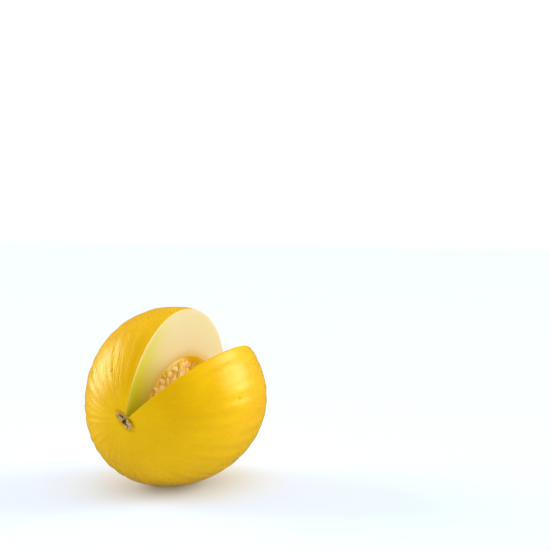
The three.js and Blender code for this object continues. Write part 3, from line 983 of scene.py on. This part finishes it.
class Graph:
    """Short calls that write a node tree."""

    def __init__(self, tree: bpy.types.NodeTree) -> None:
        """Starts on a tree."""
        self.tree = tree

    def add(self, kind: str, inputs: dict[Any, Any] | None = None, **settings: Any) -> bpy.types.Node:
        """Adds a node.

        Args:
            kind: Its type, without the words ShaderNode before it.
            inputs: Values or sockets for its inputs, by name or number.
            settings: Its own properties.

        Returns:
            The node.
        """
        node = self.tree.nodes.new(kind if kind.startswith("Node") else f"ShaderNode{kind}")
        for name, value in settings.items():
            setattr(node, name, value)
        for name, value in (inputs or {}).items():
            if isinstance(value, Socket):
                self.tree.links.new(value, node.inputs[name])
            else:
                node.inputs[name].default_value = value
        return node

    def given(self, name: str) -> Socket:
        """Value that the piece gives each of its points."""
        return self.add("Attribute", attribute_name=name).outputs["Fac"]

    def place(self) -> Socket:
        """Place on the object, in metres."""
        return self.add("TexCoord").outputs["Object"]

    def math(self, operation: str, first: Any, second: Any = 0.0, third: Any = 0.0) -> Socket:
        """Operation on two or three values."""
        return self.add("Math", {0: first, 1: second, 2: third}, operation=operation).outputs[0]

    def product(self, first: Any, second: Any) -> Socket:
        """Product of two values."""
        return self.math("MULTIPLY", first, second)

    def total(self, *values: Any) -> Socket:
        """Sum of two or more values."""
        found = values[0]
        for value in values[1:]:
            found = self.math("ADD", found, value)
        return found

    def ramp(self, value: Any, start: float, end: float, low: float = 0.0, high: float = 1.0) -> Socket:
        """Smooth change from low to high as a value goes from start to end."""
        inputs = {"Value": value, "From Min": start, "From Max": end, "To Min": low, "To Max": high}
        return self.add("MapRange", inputs, interpolation_type="SMOOTHSTEP").outputs["Result"]

    def varied(self, noise: Any, low: float = 0.0, high: float = 1.0) -> Socket:
        """Smooth change from low to high over the middle of a noise."""
        return self.ramp(noise, *NOISE_MIDDLE, low, high)

    def mix(self, share: Any, first: Any, second: Any) -> Socket:
        """Colour between two colours."""
        return self.add("Mix", {0: share, 6: first, 7: second}, data_type="RGBA").outputs[2]

    def noise(self, where: Any, scale: Any, detail: float = 2.0) -> Socket:
        """Noise between 0 and 1."""
        return self.add("TexNoise", {"Vector": where, "Scale": scale, "Detail": detail}).outputs[0]

    def bump(self, strength: float, distance: float, height: Any) -> Socket:
        """Normal bent by a height, whose whole range stands for a distance in millimetres."""
        inputs = {"Strength": strength, "Distance": distance * MM, "Height": height}
        return self.add("Bump", inputs).outputs[0]

    def use(self, group: bpy.types.NodeTree, inputs: dict[str, Any]) -> bpy.types.Node:
        """Places a node group."""
        return self.add("Group", inputs, node_tree=group)

    def finish(self, shader: dict[str, Any]) -> None:
        """Adds the surface shader and the output."""
        surface = self.add("BsdfPrincipled", shader)
        self.add("OutputMaterial", {"Surface": surface.outputs[0]})


def new_group(name: str, inputs: dict[str, float], outputs: Sequence[str]) -> tuple[Graph, Any, Any]:
    """Starts a shader node group.

    Args:
        name: Name of the group.
        inputs: Its number inputs with their usual values.
        outputs: Names of its outputs.

    Returns:
        Its graph, its input node and its output node.
    """
    tree = bpy.data.node_groups.new(name, "ShaderNodeTree")
    for key, value in inputs.items():
        tree.interface.new_socket(key, in_out="INPUT", socket_type="NodeSocketFloat").default_value = value
    for key in outputs:
        tree.interface.new_socket(key, in_out="OUTPUT", socket_type="NodeSocketFloat")
    graph = Graph(tree)
    return graph, graph.add("NodeGroupInput"), graph.add("NodeGroupOutput")


def streaks_group() -> bpy.types.NodeTree:
    """Long narrow streaks along the fruit, from the angle about it and the angle along it."""
    inputs = {"Across": 26.0, "Along": 3.0, "Sway": 0.6}
    graph, given, made = new_group("lengthwise_streaks", inputs, ["Streaks"])
    turn, along = graph.given("turn"), graph.given("along")
    soft = graph.add("CombineXYZ", {0: turn, 1: along}).outputs[0]
    sway = graph.product(graph.noise(soft, 3.0), given.outputs["Sway"])
    across = graph.product(graph.total(turn, sway), given.outputs["Across"])
    length = graph.product(along, given.outputs["Along"])
    where = graph.add("CombineXYZ", {0: across, 1: length}).outputs[0]
    graph.tree.links.new(graph.noise(where, 1.0, 1.2), made.inputs["Streaks"])
    return graph.tree


def grain_group() -> bpy.types.NodeTree:
    """Fine juicy grain: small cells with noise over them, for cut flesh, pulp and cork."""
    inputs = {"Cell size": 0.9, "Cloud size": 14.0}
    graph, given, made = new_group("fine_grain", inputs, ["Cells", "Clouds"])
    place = graph.place()
    cell_scale = graph.math("DIVIDE", 1.0 / MM, given.outputs["Cell size"])
    cells = graph.add("TexVoronoi", {"Vector": place, "Scale": cell_scale}, feature="SMOOTH_F1")
    cloud_scale = graph.math("DIVIDE", 1.0 / MM, given.outputs["Cloud size"])
    graph.tree.links.new(cells.outputs["Distance"], made.inputs["Cells"])
    graph.tree.links.new(graph.noise(place, cloud_scale, 4.0), made.inputs["Clouds"])
    return graph.tree


def new_material(name: str) -> tuple[bpy.types.Material, Graph]:
    """Starts a material with an empty graph."""
    material = bpy.data.materials.new(name)
    material.use_nodes = True
    material.node_tree.nodes.clear()
    return material, Graph(material.node_tree)


@dataclass(frozen=True)
class RindFinish:
    """Waxy yellow skin: satin, faintly mottled, wrinkled along the fruit, two small warts, painted shade
    round the stub.
    """

    bright: Colour = (250, 195, 1)
    deep: Colour = (241, 183, 0)
    pale: Colour = (252, 205, 6)
    # Darker tone of the painted shade round the stub.
    stub_shade: Colour = (196, 150, 10)
    roughness: float = 0.3
    shine: float = 0.45
    shine_tone: Colour = (255, 242, 130)
    wrinkled: tuple[float, float, float] = (2.25, 0.48, 0.8)
    warts: tuple[tuple[float, float], ...] = ((29.0, 117.0), (71.4, 370.7))
    wart_radii: tuple[float, float] = (0.4, 2.0)
    thin_height: float = 0.05
    grain_height: float = 0.02
    wart_height: float = 0.8
    bump: tuple[float, float] = (0.65, 1.5)

    def material(self, form: FruitForm, streaks: bpy.types.NodeTree) -> bpy.types.Material:
        """Makes the material.

        Args:
            form: Form of the fruit, on which the warts are placed by latitude and angle.
            streaks: Node group of lengthwise streaks.

        Returns:
            The material.
        """
        material, graph = new_material("canary_rind")
        place = graph.place()
        wide = graph.use(streaks, {"Across": 22.0, "Along": 2.4, "Sway": 0.5}).outputs[0]
        thin = graph.use(streaks, {"Across": 70.0, "Along": 6.0, "Sway": 0.6}).outputs[0]
        wavy = graph.use(streaks, {"Across": 30.0, "Along": 8.0, "Sway": 0.35}).outputs[0]
        colour = graph.mix(graph.varied(graph.noise(place, 22.0)), tone(*self.deep), tone(*self.bright))
        colour = graph.mix(graph.ramp(wide, 0.5, 0.75, 0.0, 0.3), colour, tone(*self.pale))
        colour = graph.mix(graph.ramp(wavy, 0.55, 0.8, 0.0, 0.3), colour, tone(*self.pale))
        # Painted shade: a darker streaked ring on the skin round the stub.
        stub_shade_ring = graph.ramp(graph.given("along"), 0.05, 0.11, 0.12, 0.0)
        colour = graph.mix(graph.product(stub_shade_ring, graph.varied(thin, 0.4, 1.0)), colour, tone(*self.stub_shade))
        height = graph.total(
            graph.product(wavy, self.wrinkled_share(graph)),
            graph.product(thin, self.thin_height),
            graph.product(graph.noise(place, 900.0, 3.0), self.grain_height),
            graph.product(self.wart_mask(graph, form, place), self.wart_height),
        )
        graph.finish({
            "Base Color": colour,
            "Roughness": graph.varied(thin, self.roughness - 0.05, self.roughness + 0.08),
            "Normal": graph.bump(*self.bump, height),
            "Specular IOR Level": self.shine,
            "Specular Tint": tone(*self.shine_tone),
        })
        return material

    def wrinkled_share(self, graph: Graph) -> Socket:
        """How wrinkled the skin is: most in a patch given by its angle, latitude and reach."""
        turn, along, reach = self.wrinkled
        where = graph.add("CombineXYZ", {0: graph.given("turn"), 1: graph.given("along")}).outputs[0]
        gap = graph.add("VectorMath", {0: where, 1: (turn, along, 0.0)}, operation="DISTANCE")
        patch = graph.ramp(gap.outputs["Value"], 0.4 * reach, reach, 0.6, 0.05)
        return graph.total(patch, graph.ramp(graph.noise(where, 1.3), 0.5, 0.7, 0.0, 0.14))

    def wart_mask(self, graph: Graph, form: FruitForm, place: Socket) -> Socket:
        """One in a small round spot at each wart, falling to none."""
        inner, outer = self.wart_radii
        spots = []
        for latitude, angle in self.warts:
            point = (form.skin(np.radians(latitude), np.radians(angle)) + form.middle()) * MM
            gap = graph.add("VectorMath", {0: place, 1: tuple(point)}, operation="DISTANCE")
            spots.append(graph.ramp(gap.outputs["Value"], inner * MM, outer * MM, 1.0, 0.0))
        return graph.total(*spots)


@dataclass(frozen=True)
class FleshFinish:
    """Cut flesh: a pale line inside the skin, a green band that fades to cream, ochre at the hollow, painted
    shade towards the stem.
    """

    cream: Colour = (235, 217, 166)
    pale_line: Colour = (240, 216, 170)
    green: Colour = (224, 213, 84)
    olive_and_shade: Colour = (214, 197, 0)
    ochre: Colour = (222, 184, 84)
    skin: Colour = (250, 206, 60)
    roughness: float = 0.48
    bump: tuple[float, float] = (0.18, 0.5)
    scatter: float = 0.35
    scatter_reach: float = 4.0
    shine: float = 0.2

    def material(self, grain: bpy.types.NodeTree) -> bpy.types.Material:
        """Makes the material, with its bands laid by depth under the skin and distance from the hollow."""
        material, graph = new_material("melon_flesh")
        depth, core, along = graph.given("depth"), graph.given("core"), graph.given("along")
        fine = graph.use(grain, {"Cell size": 1.1, "Cloud size": 11.0})
        clouds = fine.outputs["Clouds"]
        rim_depth = graph.total(depth, graph.varied(clouds, -0.7, 0.7))
        core_gap = graph.total(core, graph.varied(clouds, -1.0, 1.0))
        green_along = graph.ramp(along, 0.35, 1.35, 0.95, 0.12)
        green = graph.product(graph.ramp(rim_depth, 5.0, 25.0, 1.0, 0.0), green_along)
        pale = graph.product(graph.ramp(depth, 1.2, 4.0, 0.8, 0.0), graph.ramp(along, 0.15, 0.7, 0.25, 1.0))
        layers = (
            (green, self.green),
            # Towards the stem end: greenish flesh, darkened with painted shade.
            (graph.ramp(along, 0.15, 1.3, 0.9, 0.0), self.olive_and_shade),
            (graph.ramp(core_gap, 0.0, 10.0, 0.85, 0.0), self.ochre),
            (pale, self.pale_line),
            (graph.ramp(depth, 0.3, 0.8, 0.8, 0.0), self.skin),
        )
        colour: Any = tone(*self.cream)
        for share, layer in layers:
            colour = graph.mix(share, colour, tone(*layer))
        graph.finish({
            "Base Color": colour,
            "Roughness": graph.varied(clouds, self.roughness - 0.06, self.roughness + 0.06),
            "Normal": graph.bump(*self.bump, graph.total(graph.product(fine.outputs["Cells"], 0.5), clouds)),
            "Subsurface Weight": self.scatter,
            "Subsurface Radius": (1.0, 0.75, 0.35),
            "Subsurface Scale": self.scatter_reach * MM,
            "Specular IOR Level": self.shine,
        })
        return material


@dataclass(frozen=True)
class JuicyFinish:
    """Wet amber tissue: two tones in clouds, glossy, with light scattered under its surface.

    Its faint emission is painted light that brightens the shaded hollow.
    """

    name: str
    light: Colour
    dark: Colour
    cloud_size: float = 6.0
    cell_size: float = 0.8
    roughness: float = 0.36
    bump: float = 0.35
    own_tint: bool = False
    rim: Colour | None = None
    bare: Colour | None = None
    painted_glow: float = 0.0
    scatter: float = 0.7
    scatter_reach: float = 4.5
    shine: float = 0.2

    def material(self, grain: bpy.types.NodeTree) -> bpy.types.Material:
        """Makes the material.

        Args:
            grain: Node group of fine grain.

        Returns:
            The material, where own_tint lets a seed's own shade move its tone, rim colours the pulp's
            edge at the wall, and bare colours its deep part with no fibres on it.
        """
        material, graph = new_material(self.name)
        fine = graph.use(grain, {"Cell size": self.cell_size, "Cloud size": self.cloud_size})
        clouds = fine.outputs["Clouds"]
        share = graph.varied(clouds)
        if self.own_tint:
            share = graph.total(graph.product(graph.given("tint"), 0.6), graph.product(share, 0.4))
        colour = graph.mix(share, tone(*self.dark), tone(*self.light))
        if self.rim:
            colour = graph.mix(graph.ramp(graph.given("tip"), 0.78, 0.98), colour, tone(*self.rim))
        if self.bare:
            bare = graph.product(graph.given("tint"), graph.ramp(graph.given("tip"), 0.6, 0.8))
            colour = graph.mix(bare, colour, tone(*self.bare))
        graph.finish({
            "Base Color": colour,
            "Roughness": graph.varied(clouds, self.roughness, self.roughness + 0.12),
            "Normal": graph.bump(self.bump, 0.4, graph.total(fine.outputs["Cells"], clouds)),
            "Subsurface Weight": self.scatter,
            "Subsurface Radius": (1.0, 0.85, 0.3),
            "Subsurface Scale": self.scatter_reach * MM,
            "Specular IOR Level": self.shine,
            # Emission is painted light: a faint self-lit brightening of the hollow, seeds and fibres.
            "Emission Color": colour,
            "Emission Strength": self.painted_glow,
        })
        return material


# The emission strengths below are painted light that brightens the shaded hollow.
HOLLOW_WALL = JuicyFinish(
    "hollow_wall", light=(246, 226, 20), dark=(240, 208, 0), cloud_size=9.0, roughness=0.34, painted_glow=0.18,
)
AMBER_PULP = JuicyFinish(
    "amber_pulp", light=(236, 204, 104), dark=(206, 164, 48), cloud_size=5.0, painted_glow=0.18,
    rim=(230, 204, 124), bare=(240, 200, 0),
)
SEED_COAT = JuicyFinish(
    "seed_coat", light=(246, 218, 164), dark=(234, 196, 130), cloud_size=3.0, bump=0.15, painted_glow=0.1,
    own_tint=True,
)
PULP_FIBRE = JuicyFinish(
    "pulp_fibre", light=(236, 200, 96), dark=(218, 176, 52), cloud_size=3.0, painted_glow=0.16,
)


@dataclass(frozen=True)
class CorkFinish:
    """Dry cork of the stub: tan, with painted shade in its furrows, cracks and cut faces, rough and pitted.
    """

    tan: Colour = (200, 152, 74)
    pale: Colour = (232, 196, 128)
    # dark is the colour of the painted shade in the furrows, cracks and cut faces.
    dark: Colour = (58, 42, 2)
    bump: tuple[float, float] = (0.7, 0.4)

    def material(self, grain: bpy.types.NodeTree) -> bpy.types.Material:
        """Makes the material, with painted shade by how deep in a furrow each point lies."""
        material, graph = new_material("stub_cork")
        fine = graph.use(grain, {"Cell size": 0.5, "Cloud size": 2.2})
        clouds = fine.outputs["Clouds"]
        colour = graph.mix(graph.ramp(clouds, 0.35, 0.65), tone(*self.tan), tone(*self.pale))
        # Painted shade in the furrows, cracks and on the cut faces.
        furrows = graph.ramp(graph.given("furrow"), 0.4, 0.95, 0.0, 0.9)
        height = graph.total(graph.product(fine.outputs["Cells"], 0.6), clouds)
        graph.finish({
            "Base Color": graph.mix(furrows, colour, tone(*self.dark)),
            "Roughness": graph.varied(clouds, 0.8, 0.95),
            "Normal": graph.bump(*self.bump, height),
        })
        return material


# Studio


@dataclass(frozen=True)
class Softbox:
    """A broad soft light, far off: its azimuth, elevation and spread are in degrees."""

    name: str
    azimuth: float
    elevation: float
    strength: float
    spread: float
    mirrored: bool = True


@dataclass
class Studio:
    """Pale floor, soft light from all round with a darker front, and the camera."""

    form: FruitForm
    lens: float = 70.66
    distance: float = 950.0
    seat: tuple[float, float] = (27.947, 10.099)
    aim: tuple[float, float] = (22.808, 3.433)
    floor_half: float = 6.0
    behind: float = 0.95
    ahead: float = 0.5
    seen: float = 1.1
    mirrored: float = 0.1
    facing: tuple[float, float] = (-0.6, 0.9)
    floor_tones: tuple[Colour, Colour] = ((218, 231, 252), (220, 233, 254))
    floor_glow: tuple[float, float] = (0.05, 0.08)
    softboxes: tuple[Softbox, ...] = (
        Softbox("left_softbox", -90.0, 18.0, 1.7, 40.0),
        Softbox("right_softbox", 128.0, 21.0, 1.8, 36.0),
        Softbox("top_softbox", 41.0, 64.0, 0.55, 60.0, mirrored=False),
    )

    def axes(self, azimuth: float, elevation: float) -> Matrix:
        """Right, up and back of a camera that looks from an azimuth and elevation, in degrees."""
        a, e = math.radians(azimuth), math.radians(elevation)
        back = Vector((math.sin(a) * math.cos(e), -math.cos(a) * math.cos(e), math.sin(e)))
        right = Vector((math.cos(a), math.sin(a), 0.0))
        return Matrix((right, back.cross(right), back)).transposed()

    def camera(self) -> None:
        """Places the camera as the photograph's."""
        data = bpy.data.cameras.new("camera")
        data.sensor_width = SENSOR_MM
        data.lens = self.lens
        data.clip_start, data.clip_end = 0.01, 100.0
        place = self.form.middle() + self.distance * np.array(self.axes(*self.seat).col[2])
        camera = bpy.data.objects.new("camera", data)
        camera.matrix_world = Matrix.Translation(Vector(place * MM)) @ self.axes(*self.aim).to_4x4()
        bpy.context.scene.collection.objects.link(camera)
        bpy.context.scene.camera = camera

    def floor(self) -> None:
        """Lays the pale floor."""
        half = self.floor_half / MM
        corners = np.array([[-half, -half, 0], [half, -half, 0], [-half, half, 0], [half, half, 0]], float)
        quads = np.array([[0, 1, 3, 2]])
        material, graph = new_material("pale_floor")
        first, second = self.floor_tones
        seen, always = self.floor_glow
        path = graph.add("LightPath")
        graph.finish({
            "Base Color": graph.mix(graph.noise(graph.place(), 3.0), tone(*first), tone(*second)),
            "Roughness": 0.6,
            "Specular IOR Level": 0.1,
            "Emission Color": tone(255, 255, 255),
            "Emission Strength": graph.math("MULTIPLY_ADD", path.outputs["Is Camera Ray"], seen, always),
        })
        floor = Shell(corners, quads, np.zeros(1, int)).piece("floor", np.zeros(3), [material])
        floor.visible_glossy = False

    def sun(self, box: Softbox) -> None:
        """Adds one softbox."""
        data = bpy.data.lights.new(box.name, "SUN")
        data.energy = box.strength
        data.angle = math.radians(box.spread)
        light = bpy.data.objects.new(box.name, data)
        light.matrix_world = self.axes(box.azimuth, box.elevation).to_4x4()
        light.visible_glossy = box.mirrored
        bpy.context.scene.collection.objects.link(light)

    def surroundings(self) -> None:
        """White room that lights the fruit most from behind and hardly mirrors in its skin."""
        world = bpy.data.worlds.new("white_room")
        world.use_nodes = True
        world.node_tree.nodes.clear()
        graph = Graph(world.node_tree)
        path = graph.add("LightPath")
        towards = graph.add("TexCoord").outputs["Generated"]
        front = tuple(self.axes(*self.seat).col[2])
        facing = graph.add("VectorMath", {0: towards, 1: front}, operation="DOT_PRODUCT").outputs["Value"]
        light = graph.ramp(facing, *self.facing, self.behind, self.ahead)
        unseen = graph.add("Mix", {0: path.outputs["Is Glossy Ray"], 2: light, 3: self.mirrored}).outputs[0]
        strength = graph.add("Mix", {0: path.outputs["Is Camera Ray"], 2: unseen, 3: self.seen}).outputs[0]
        background = graph.add("Background", {"Color": tone(255, 255, 255), "Strength": strength})
        graph.add("OutputWorld", {"Surface": background.outputs[0]})
        bpy.context.scene.world = world

    def build(self) -> None:
        """Builds the studio."""
        self.camera()
        self.floor()
        self.surroundings()
        for box in self.softboxes:
            self.sun(box)
        bpy.context.scene.view_settings.view_transform = "Standard"


def main() -> None:
    """Builds the fruit, its finishes and the studio."""
    logging.basicConfig(level=logging.INFO, format="%(message)s")
    form = FruitForm()
    Studio(form).build()
    streaks, grain = streaks_group(), grain_group()
    rind = RindFinish().material(form, streaks)
    MelonBody(form).build([rind, FleshFinish().material(grain), HOLLOW_WALL.material(grain)])
    seed_finishes = [finish.material(grain) for finish in (AMBER_PULP, SEED_COAT, PULP_FIBRE)]
    SeedMass(form).build(*seed_finishes)
    StemStub(form).build(CorkFinish().material(grain))


if __name__ == "__main__":
    main()
